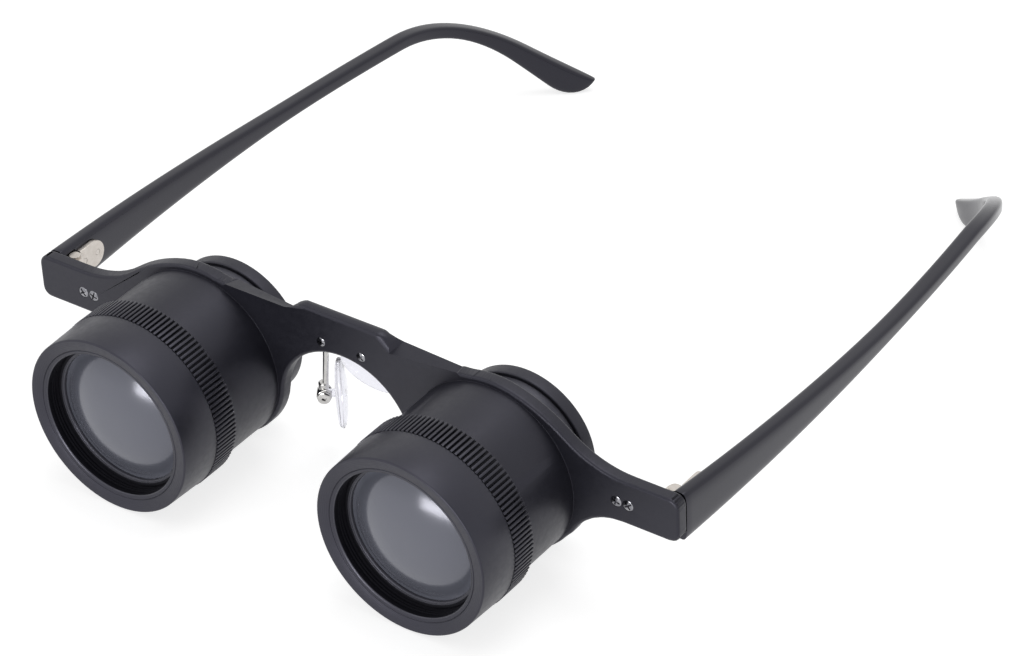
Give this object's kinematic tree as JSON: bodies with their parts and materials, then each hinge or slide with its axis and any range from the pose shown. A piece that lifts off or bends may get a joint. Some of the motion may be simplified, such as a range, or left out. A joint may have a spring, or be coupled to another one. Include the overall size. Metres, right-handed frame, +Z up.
{
  "type": "binocular glasses",
  "caption": "Spectacle-mounted binocular magnifier with focusing barrels, folding temples and adjustable nose pads.",
  "frame": {"origin": "middle of the object's box, on the floor that it stands on with its grip bands and temple tips", "axes": "+X across the face to the wearer's right-hand side of the picture, +Y from the objective lenses back to the temple tips, +Z up"},
  "size_m": [0.1428, 0.168, 0.0373],
  "materials": {
    "frame_plastic": "fine satin moulding",
    "ring_plastic": "satin, with faint turning lines on the flat front edge",
    "grip_plastic": "fluted grip",
    "cell_plastic": "dull black inside",
    "eyecup_rubber": "soft satin rubber",
    "objective_glass": "clear lens with a faint violet coating",
    "eye_glass": "clear lens",
    "temple_plastic": "smooth half gloss",
    "hinge_metal": "nickel plated",
    "pin_steel": "turned",
    "screw_steel": "plated",
    "keeper_metal": "dark anodised",
    "wire_metal": "bright nickel plate",
    "pad_silicone": "clear soft silicone"
  },
  "bodies": {
    "frame": {"front_frame": "frame_plastic", "pad_bracket": "wire_metal", "bridge_screws": "screw_steel", "left_ring_keeper": "keeper_metal", "left_guide_pin": "pin_steel", "left_eyepiece_tube": "ring_plastic", "left_eyecup": "eyecup_rubber", "left_eye_lens": "eye_glass", "left_eye_retainer": "cell_plastic", "left_hinge_base": "hinge_metal", "left_hinge_screws": "screw_steel", "left_hinge_pin": "pin_steel", "left_pad_arm": "wire_metal", "left_pad_box": "wire_metal", "left_pad_screw": "screw_steel", "right_ring_keeper": "keeper_metal", "right_guide_pin": "pin_steel", "right_eyepiece_tube": "ring_plastic", "right_eyecup": "eyecup_rubber", "right_eye_lens": "eye_glass", "right_eye_retainer": "cell_plastic", "right_hinge_base": "hinge_metal", "right_hinge_screws": "screw_steel", "right_hinge_pin": "pin_steel", "right_pad_arm": "wire_metal", "right_pad_box": "wire_metal", "right_pad_screw": "screw_steel"},
    "left_focus": {"left_focus_ring": "ring_plastic", "left_grip_band": "grip_plastic"},
    "left_cell": {"left_lens_cell": "cell_plastic", "left_objective_lens": "objective_glass", "left_objective_retainer": "cell_plastic"},
    "left_temple": {"left_temple": "temple_plastic", "left_hinge_leaf": "hinge_metal", "left_leaf_rivets": "pin_steel"},
    "left_pad": {"left_nose_pad": "pad_silicone"},
    "right_focus": {"right_focus_ring": "ring_plastic", "right_grip_band": "grip_plastic"},
    "right_cell": {"right_lens_cell": "cell_plastic", "right_objective_lens": "objective_glass", "right_objective_retainer": "cell_plastic"},
    "right_temple": {"right_temple": "temple_plastic", "right_hinge_leaf": "hinge_metal", "right_leaf_rivets": "pin_steel"},
    "right_pad": {"right_nose_pad": "pad_silicone"}
  },
  "joints": [
    {"name": "left_temple_hinge", "type": "hinge", "parent": "frame", "child": "left_temple", "pos_m": [-0.0662, -0.05151, 0.02132], "axis": [0, -0.0206, 0.9998], "range_deg": [-72, 0]},
    {"name": "left_focus_spin", "type": "hinge", "parent": "frame", "child": "left_focus", "pos_m": [-0.032, -0.07265, 0.01799], "axis": [0, 0.9998, 0.0206], "range_deg": [-110, 150]},
    {"name": "left_cell_slide", "type": "slide", "parent": "frame", "child": "left_cell", "axis": [0, 0.9998, 0.0206], "range_m": [-0.0012, 0.00154]},
    {"name": "left_pad_rock", "type": "hinge", "parent": "frame", "child": "left_pad", "pos_m": [-0.0113, -0.04853, 0.01248], "axis": [-0.6018, 0.7985, 0.0164], "range_deg": [-8, 8]},
    {"name": "right_temple_hinge", "type": "hinge", "parent": "frame", "child": "right_temple", "pos_m": [0.0662, -0.05151, 0.02132], "axis": [0, -0.0206, 0.9998], "range_deg": [0, 72]},
    {"name": "right_focus_spin", "type": "hinge", "parent": "frame", "child": "right_focus", "pos_m": [0.032, -0.07265, 0.01799], "axis": [0, 0.9998, 0.0206], "range_deg": [-110, 150]},
    {"name": "right_cell_slide", "type": "slide", "parent": "frame", "child": "right_cell", "axis": [0, 0.9998, 0.0206], "range_m": [-0.0012, 0.00154]},
    {"name": "right_pad_rock", "type": "hinge", "parent": "frame", "child": "right_pad", "pos_m": [0.0004, -0.05166, 0.02842], "axis": [-1, 0, 0], "range_deg": [-8, 8]}
  ],
  "couplings": [
    {"joint": "left_cell_slide", "follows": "left_focus_spin", "m_per_rad": 0.00057296},
    {"joint": "right_cell_slide", "follows": "right_focus_spin", "m_per_rad": 0.00057296}
  ]
}
